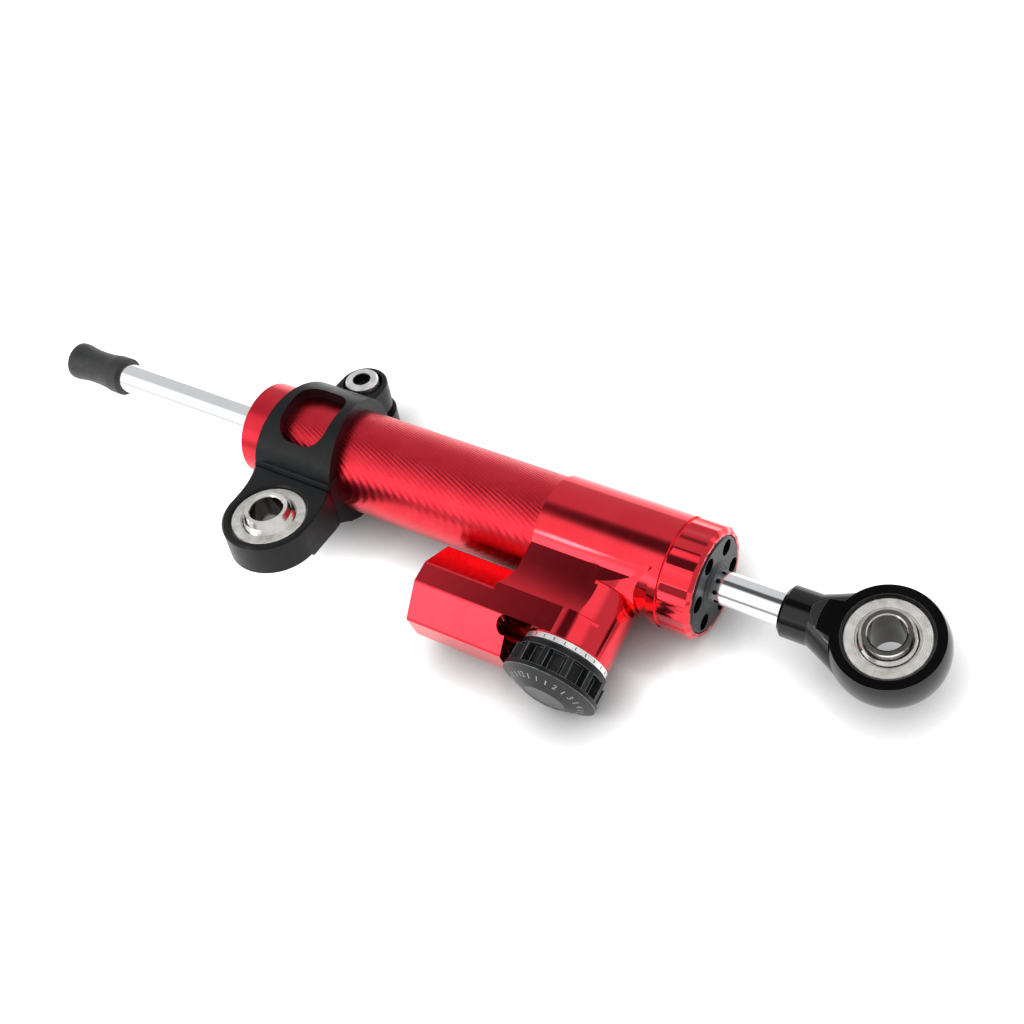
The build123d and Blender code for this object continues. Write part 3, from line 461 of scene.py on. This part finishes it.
# The nodes that have each finish
dressed = {
    "redGloss": ("head_body",),
    "redTurned": ("damper_tube",),
    "redSatin": ("rear_end_cap", "reservoir_plug"),
    "blackAnodised": ("tube_clamp",),
    "blackGland": ("head_gland",),
    "blackSteel": ("rod_end_housing",),
    "blackRubber": (
        "head_seal", "rear_seal", "head_wiper", "rear_wiper", "gland_o_ring", "rear_cap_o_ring",
        "plug_o_ring", "reservoir_piston_ring", "spindle_o_ring", "rod_bump_cap",
    ),
    "chromeRod": ("piston_rod",),
    "rodRace": ("rod_end_race",),
    "rodBall": ("rod_end_ball",),
    "clampRace": ("clamp_race",),
    "clampBall": ("clamp_ball",),
    "screwSteel": ("clamp_screw",),
    "silverRing": ("index_ring",),
    "knobBlack": ("adjuster_knob",),
    "knobGrey": ("knob_centre_disc",),
    "brightSteel": (
        "piston", "piston_clips", "plug_circlip", "adjuster_spindle", "adjuster_needle", "knob_screw",
        "detent_balls", "detent_springs",
    ),
    "bronze": ("head_bush", "rear_bush"),
    "brass": ("reservoir_piston", "adjuster_housing"),
    "ptfe": ("piston_band",),
}
for kind, names in dressed.items():
    for nodeName in names:
        mesh = nodes[nodeName].data
        mesh.materials.clear()
        mesh.materials.append(finish[kind])

# Pieces that are their solid again with its sharp edges rounded, because their edges catch the light.
# Widths and gaps are in millimetres and angles in degrees.
# Each round takes its edge finish, which for the red and black pieces is a lighter colour painted as a
# highlight.
rounded = {
    "head_body": {"piece": "headBlock", "width": 0.25, "edge": "redEdgeHighlight"},
    "tube_clamp": {"piece": "tubeClamp", "width": 0.35, "edge": "blackEdgeHighlight"},
    "rod_end_housing": {"piece": "rodEndHousing", "width": 0.35, "edge": "blackEdgeHighlight"},
    "clamp_screw": {"piece": "clampScrew", "width": 0.2, "edge": "screwSteel"},
    "adjuster_knob": {"piece": "adjusterKnob", "width": 0.2, "edge": "blackEdgeHighlight"},
}
edgeWork = {
    "segments": 2,
    "sharpAngle": 24,
    "flatAngle": 0.2,
    "weldGap": 0.002,
    "sliverGap": 0.001,
    "leastNormal": 1e-9,
}


def plainMesh(obj, name):
    # the evaluated shape as a mesh with nothing live on it
    graph = bpy.context.evaluated_depsgraph_get()
    graph.update()
    mesh = bpy.data.meshes.new_from_object(obj.evaluated_get(graph), depsgraph=graph)
    mesh.name = name
    old = obj.data
    obj.modifiers.clear()
    obj.data = mesh
    bpy.data.meshes.remove(old)
    return obj


def markSharp(mesh, normals):
    # welds the solid's triangles into faces and weighs its sharp edges for the bevel.
    # Each corner keeps the solid's own normal in an attribute
    work = bmesh.new()
    work.from_mesh(mesh)
    keep = work.loops.layers.float_vector.new("cadNormal")
    for face in work.faces:
        for loop in face.loops:
            loop[keep] = normals[loop.index]
    for edge in work.edges:
        edge.seam = len(edge.link_faces) == 1
    bmesh.ops.remove_doubles(work, verts=work.verts, dist=edgeWork["weldGap"] * mm)
    bmesh.ops.dissolve_degenerate(work, edges=work.edges, dist=edgeWork["sliverGap"] * mm)
    flat = [edge for edge in work.edges if not edge.seam and edge.is_manifold]
    bmesh.ops.dissolve_limit(
        work, verts=work.verts, edges=flat, angle_limit=radians(edgeWork["flatAngle"]), delimit={"SEAM"}
    )
    layers = work.edges.layers.float
    weight = layers.get("bevel_weight_edge") or layers.new("bevel_weight_edge")
    for edge in work.edges:
        sharp = edge.seam and edge.is_manifold and edge.calc_face_angle(0) > radians(edgeWork["sharpAngle"])
        edge[weight] = 1.0 if sharp else 0.0
    work.to_mesh(mesh)
    work.free()


def roundedCopy(nodeName, values):
    source = nodes[nodeName].data
    mesh = source.copy()
    markSharp(mesh, [corner.vector.copy() for corner in source.corner_normals])
    mesh.materials.append(finish[values["edge"]])
    obj = bpy.data.objects.new(values["piece"], mesh)
    bpy.context.scene.collection.objects.link(obj)
    bevel = obj.modifiers.new("edges", "BEVEL")
    bevel.width = values["width"] * mm
    bevel.segments = edgeWork["segments"]
    bevel.limit_method = "WEIGHT"
    # the rounds get the edge finish, a painted highlight on the red and black pieces
    bevel.material = len(mesh.materials) - 1
    plainMesh(obj, values["piece"])
    setNormals(obj.data)
    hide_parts(nodeName)
    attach(obj, bodyOf[nodeName])


def setNormals(mesh):
    # faces of the solid keep their own normals, and the rounds between them, which carry the painted edge
    # highlight, join on smoothly
    kept = mesh.attributes["cadNormal"].data
    atPoint = {}
    roundSum = {}
    for face in mesh.polygons:
        for corner in face.loop_indices:
            point = mesh.loops[corner].vertex_index
            if face.material_index:
                roundSum[point] = roundSum.get(point, Vector()) + face.normal * face.area
            else:
                atPoint.setdefault(point, []).append(kept[corner].vector.copy())
    result = []
    for face in mesh.polygons:
        for corner in face.loop_indices:
            point = mesh.loops[corner].vertex_index
            if not face.material_index:
                normal = kept[corner].vector.copy()
            elif point in atPoint:
                normal = max(atPoint[point], key=lambda n: n.dot(face.normal))
            else:
                normal = roundSum[point]
            longEnough = normal.length > edgeWork["leastNormal"]
            result.append(normal.normalized() if longEnough else face.normal.copy())
    for face in mesh.polygons:
        face.use_smooth = True
    mesh.attributes.remove(mesh.attributes["cadNormal"])
    if "custom_normal" in mesh.attributes:
        mesh.attributes.remove(mesh.attributes["custom_normal"])
    mesh.normals_split_custom_set(result)


# Marks on the adjuster: white ticks and numbers on the knob's cone, grey ticks on the ring below it.
# Lengths are in millimetres, heights are measured outwards from the rod's axis.
dial = {
    "numbers": 12,
    "numberSize": 2.3,
    "numberRadius": 8.5,
    "curveSteps": 4,
    "tickLength": 1.5,
    "tickWidth": 0.3,
    "tickRadius": 8.5,
    "thickness": 0.05,
    "faceHeight": 39.3,
    "faceRadius": 5.27,
    "flangeHeight": 36.9,
    "flangeRadius": 11.6,
}
ringMark = {
    "count": 24,
    "length": 0.75,
    "width": 0.25,
    "radius": 10.15,
    "height": 28.62,
}
dialSlope = atan2(dial["faceHeight"] - dial["flangeHeight"], dial["flangeRadius"] - dial["faceRadius"])
adjusterFrame = Matrix((
    (0, -1, 0, place["adjusterX"] * mm),
    (0, 0, -1, 0),
    (1, 0, 0, 0),
    (0, 0, 0, 1),
))


def dialHeight(radius):
    return dial["faceHeight"] - (radius - dial["faceRadius"]) * tan(dialSlope)


def tickGroup():
    # a row of small blocks round the Z axis, each tilted by the slope of what it lies on
    group = bpy.data.node_groups.new("tickRow", "GeometryNodeTree")
    sockets = (
        ("Count", "NodeSocketInt"), ("Radius", "NodeSocketFloat"), ("Height", "NodeSocketFloat"),
        ("Start", "NodeSocketFloat"), ("Step", "NodeSocketFloat"), ("Slope", "NodeSocketFloat"),
        ("Size", "NodeSocketVector"), ("Material", "NodeSocketMaterial"),
    )
    for name, kind in sockets:
        group.interface.new_socket(name, in_out="INPUT", socket_type=kind)
    group.interface.new_socket("Geometry", in_out="OUTPUT", socket_type="NodeSocketGeometry")
    given = addNode(group, "NodeGroupInput").outputs
    link = group.links.new

    def maths(operation, first, second):
        node = addNode(group, "ShaderNodeMath", operation=operation)
        for socket, value in zip(node.inputs, (first, second)):
            if value is not None:
                link(value, socket)
        return node.outputs[0]

    index = addNode(group, "GeometryNodeInputIndex").outputs[0]
    angle = maths("ADD", given["Start"], maths("MULTIPLY", index, given["Step"]))
    spot = addNode(group, "ShaderNodeCombineXYZ")
    link(maths("MULTIPLY", maths("COSINE", angle, None), given["Radius"]), spot.inputs["X"])
    link(maths("MULTIPLY", maths("SINE", angle, None), given["Radius"]), spot.inputs["Y"])
    link(given["Height"], spot.inputs["Z"])
    turn = addNode(group, "ShaderNodeCombineXYZ")
    link(given["Slope"], turn.inputs["Y"])
    link(angle, turn.inputs["Z"])
    points = addNode(group, "GeometryNodeMeshLine")
    link(given["Count"], points.inputs["Count"])
    moved = addNode(group, "GeometryNodeSetPosition")
    link(points.outputs[0], moved.inputs["Geometry"])
    link(spot.outputs[0], moved.inputs["Position"])
    block = addNode(group, "GeometryNodeMeshCube")
    link(given["Size"], block.inputs["Size"])
    copies = addNode(group, "GeometryNodeInstanceOnPoints")
    link(moved.outputs[0], copies.inputs["Points"])
    link(block.outputs["Mesh"], copies.inputs["Instance"])
    link(turn.outputs[0], copies.inputs["Rotation"])
    solid = addNode(group, "GeometryNodeRealizeInstances")
    link(copies.outputs[0], solid.inputs[0])
    coloured = addNode(group, "GeometryNodeSetMaterial")
    link(solid.outputs[0], coloured.inputs["Geometry"])
    link(given["Material"], coloured.inputs["Material"])
    link(coloured.outputs[0], addNode(group, "NodeGroupOutput").inputs[0])
    return group


def tickRow(name, group, values):
    mesh = bpy.data.meshes.new(name)
    obj = bpy.data.objects.new(name, mesh)
    bpy.context.scene.collection.objects.link(obj)
    row = obj.modifiers.new("row", "NODES")
    row.node_group = group
    for socket in group.interface.items_tree:
        if socket.in_out == "INPUT":
            row[socket.identifier] = values[socket.name]
    return plainMesh(obj, name)


def numberMesh(text, angle):
    curve = bpy.data.curves.new("number", "FONT")
    curve.body = text
    curve.size = dial["numberSize"] * mm
    curve.align_x = "CENTER"
    curve.align_y = "CENTER"
    curve.extrude = dial["thickness"] / 2 * mm
    curve.resolution_u = dial["curveSteps"]
    obj = bpy.data.objects.new("number", curve)
    bpy.context.scene.collection.objects.link(obj)
    graph = bpy.context.evaluated_depsgraph_get()
    graph.update()
    mesh = bpy.data.meshes.new_from_object(obj.evaluated_get(graph), depsgraph=graph)
    bpy.data.objects.remove(obj)
    bpy.data.curves.remove(curve)
    # the text's up points outwards along the cone and its front along the cone's normal
    radius = dial["numberRadius"]
    mesh.transform(
        Matrix.Rotation(angle, 4, "Z")
        @ Matrix.Translation(Vector((radius, 0, dialHeight(radius))) * mm)
        @ Matrix.Rotation(dialSlope, 4, "Y")
        @ Matrix.Rotation(radians(-90), 4, "Z")
    )
    return mesh


def addMarks():
    group = tickGroup()
    count = dial["numbers"]
    ticks = tickRow("knobMarks", group, {
        "Count": count,
        "Radius": dial["tickRadius"] * mm,
        "Height": dialHeight(dial["tickRadius"]) * mm,
        "Start": pi / count,
        "Step": tau / count,
        "Slope": dialSlope,
        "Size": Vector((dial["tickLength"], dial["tickWidth"], dial["thickness"])) * mm,
        "Material": finish["printWhite"],
    })
    work = bmesh.new()
    work.from_mesh(ticks.data)
    for index in range(count):
        number = numberMesh(str(index + 1), -tau / count * index)
        work.from_mesh(number)
        bpy.data.meshes.remove(number)
    work.to_mesh(ticks.data)
    work.free()
    for face in ticks.data.polygons:
        face.material_index = 0
    grey = tickRow("ringMarks", group, {
        "Count": ringMark["count"],
        "Radius": ringMark["radius"] * mm,
        "Height": ringMark["height"] * mm,
        "Start": 0.0,
        "Step": tau / ringMark["count"],
        "Slope": 0.0,
        "Size": Vector((dial["thickness"], ringMark["width"], ringMark["length"])) * mm,
        "Material": finish["markGrey"],
    })
    for obj, node, slotName in ((ticks, "adjuster_knob", "silver_ring"), (grey, "index_ring", "knob_grey")):
        obj.data.transform(adjusterFrame)
        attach(obj, bodyOf[node])


# Floor and background. The floor goes through floorPoints, in millimetres. Its size and the reach of the
# painted shadow round the part are in metres. backgroundGrey scales all of the world's light, so a background
# of 1 shows as that grey, not white.
studio = {
    "floorPoints": ((-149.8, -1.0, -15.65), (-64.7, -36.5, -11.65), (-41.0, -1.0, -13.45)),
    "floorSize": 3.0,
    "floorWhite": 0.32,
    "floorRoughness": 0.8,
    "floorGlow": 1.2,
    "paintedShadeReach": 0.013,
    "paintedShadePower": 2.0,
    "paintedShadeSamples": 12,
    "background": 1.0,
    "backgroundGrey": 0.8,
    "diffuseLight": 0.62,
}
corners = [Vector(p) * mm for p in studio["floorPoints"]]
floorUp = (corners[1] - corners[0]).cross(corners[2] - corners[0]).normalized()
if floorUp.z < 0:
    floorUp = -floorUp
viewRight = (Vector(camera["right"]) - floorUp * Vector(camera["right"]).dot(floorUp)).normalized()
viewAway = floorUp.cross(viewRight)


def heading(elevation, azimuth):
    # direction from the object: azimuth 0 is away from the camera and 90 to its right
    flat = viewAway * cos(radians(azimuth)) + viewRight * sin(radians(azimuth))
    return flat * cos(radians(elevation)) + floorUp * sin(radians(elevation))


def linkMaths(tree, operation, first, second):
    # each input is a socket or a number
    node = addNode(tree, "ShaderNodeMath", operation=operation)
    for socket, value in zip(node.inputs, (first, second)):
        if isinstance(value, (int, float)):
            socket.default_value = value
        else:
            tree.links.new(value, socket)
    return node.outputs[0]


def seenRays(tree):
    # 1 for camera, glossy and transmission rays, and 0 for the rest
    path = addNode(tree, "ShaderNodeLightPath").outputs
    first = linkMaths(tree, "MAXIMUM", path["Is Camera Ray"], path["Is Glossy Ray"])
    return linkMaths(tree, "MAXIMUM", first, path["Is Transmission Ray"])


def addFloor():
    mesh = bpy.data.meshes.new("floor")
    half = studio["floorSize"] / 2
    centre = (corners[0] + corners[1] + corners[2]) / 3
    points = [
        centre + viewRight * x * half + viewAway * y * half for x, y in ((-1, -1), (1, -1), (1, 1), (-1, 1))
    ]
    mesh.from_pydata(points, [], [(0, 1, 2, 3)])
    floor = bpy.data.objects.new("floor", mesh)
    bpy.context.scene.collection.objects.link(floor)
    material = newMaterial("floorWhite", (studio["floorWhite"],) * 3, 0.0, studio["floorRoughness"])
    tree = material.node_tree
    shader = tree.nodes["Principled BSDF"]
    shader.inputs["Specular IOR Level"].default_value = 0.0
    # painted shadow: the floor's own glow fades close to the part, where little light would get in
    paintedShade = addNode(tree, "ShaderNodeAmbientOcclusion", samples=studio["paintedShadeSamples"])
    paintedShade.inputs["Distance"].default_value = studio["paintedShadeReach"]
    steep = linkMaths(tree, "POWER", paintedShade.outputs["AO"], studio["paintedShadePower"])
    glowing = linkMaths(tree, "MULTIPLY", steep, studio["floorGlow"])
    glow = addNode(tree, "ShaderNodeEmission")
    tree.links.new(linkMaths(tree, "MULTIPLY", seenRays(tree), glowing), glow.inputs["Strength"])
    both = addNode(tree, "ShaderNodeAddShader")
    tree.links.new(shader.outputs[0], both.inputs[0])
    tree.links.new(glow.outputs[0], both.inputs[1])
    tree.links.new(both.outputs[0], tree.nodes["Material Output"].inputs["Surface"])
    mesh.materials.append(material)


# What the shiny surfaces see: a pale tent with a bright side and darker openings.
# Each patch is elevation, azimuth, inner and outer angle in degrees, and brightness.
tent = {
    "base": 0.80,
    "patches": (
        (45, -112, 22, 34, 1.45),
        (22, -104, 10, 24, 1.30),
        (62, 72, 12, 30, 1.40),
        (74, -20, 9, 20, 0.11),
        (4, -128, 7, 14, 0.42),
        (26, -120, 5, 14, 3.2),
    ),
}


def mixFloat(tree, factor, first, second):
    # second is a number
    mix = addNode(tree, "ShaderNodeMix", data_type="FLOAT")
    tree.links.new(factor, mix.inputs["Factor"])
    tree.links.new(first, mix.inputs["A"])
    mix.inputs["B"].default_value = second
    return mix.outputs["Result"]


def addWorld():
    world = bpy.data.worlds.new("studio")
    bpy.context.scene.world = world
    world.use_nodes = True
    tree = world.node_tree
    tree.nodes.clear()
    coordinates = addNode(tree, "ShaderNodeTexCoord")
    unit = addNode(tree, "ShaderNodeVectorMath", operation="NORMALIZE")
    tree.links.new(coordinates.outputs["Generated"], unit.inputs[0])
    value = addNode(tree, "ShaderNodeValue")
    value.outputs[0].default_value = tent["base"]
    light = value.outputs[0]
    for elevation, azimuth, inner, outer, brightness in tent["patches"]:
        facing = addNode(tree, "ShaderNodeVectorMath", operation="DOT_PRODUCT")
        facing.inputs[1].default_value = heading(elevation, azimuth)
        tree.links.new(unit.outputs[0], facing.inputs[0])
        share = addNode(tree, "ShaderNodeMapRange", interpolation_type="SMOOTHSTEP")
        share.inputs["From Min"].default_value = cos(radians(outer))
        share.inputs["From Max"].default_value = cos(radians(inner))
        tree.links.new(facing.outputs["Value"], share.inputs["Value"])
        light = mixFloat(tree, share.outputs["Result"], light, brightness)
    path = addNode(tree, "ShaderNodeLightPath").outputs
    plain = mixFloat(tree, path["Is Diffuse Ray"], light, studio["diffuseLight"])
    background = linkMaths(tree, "MULTIPLY", path["Is Camera Ray"], studio["background"])
    glow = addNode(tree, "ShaderNodeBackground")
    glow.inputs["Color"].default_value = (*(studio["backgroundGrey"],) * 3, 1)
    tree.links.new(linkMaths(tree, "MAXIMUM", plain, background), glow.inputs["Strength"])
    tree.links.new(glow.outputs[0], addNode(tree, "ShaderNodeOutputWorld").inputs["Surface"])


# Lamps, with azimuth and elevation in degrees, and distance and size in metres.
# Only a lamp with a colour shows in shiny surfaces.
lamps = {
    "keyLamp": {"elevation": 48, "azimuth": -118, "distance": 0.9, "size": (0.55, 0.45), "brightness": 2.4},
    "stripLamp": {
        "elevation": 45, "azimuth": -123, "distance": 0.468, "size": (0.035, 0.055), "brightness": 11.0,
        "colour": (1.0, 0.93, 0.78),
    },
    "fillLamp": {"elevation": 35, "azimuth": 40, "distance": 1.0, "size": (0.8, 0.6), "brightness": 0.35},
}


def addLamps():
    centre = (cadBox[0] + cadBox[1]) / 2
    for name, values in lamps.items():
        width, height = values["size"]
        data = bpy.data.lights.new(name, "AREA")
        data.shape = "RECTANGLE"
        data.size = width
        data.size_y = height
        data.energy = values["brightness"] * pi * width * height
        lamp = bpy.data.objects.new(name, data)
        bpy.context.scene.collection.objects.link(lamp)
        direction = heading(values["elevation"], values["azimuth"])
        lamp.location = centre + direction * values["distance"]
        lamp.rotation_mode = "QUATERNION"
        lamp.rotation_quaternion = (-direction).to_track_quat("-Z", "Y")
        lamp.visible_glossy = "colour" in values
        if "colour" in values:
            data.color = values["colour"]


for nodeName, values in rounded.items():
    roundedCopy(nodeName, values)
    print("edges rounded:", values["piece"])

addMarks()
print("marks made")

addFloor()
addWorld()
addLamps()
addCamera()
bpy.context.scene.view_settings.view_transform = "Standard"
print("studio made")
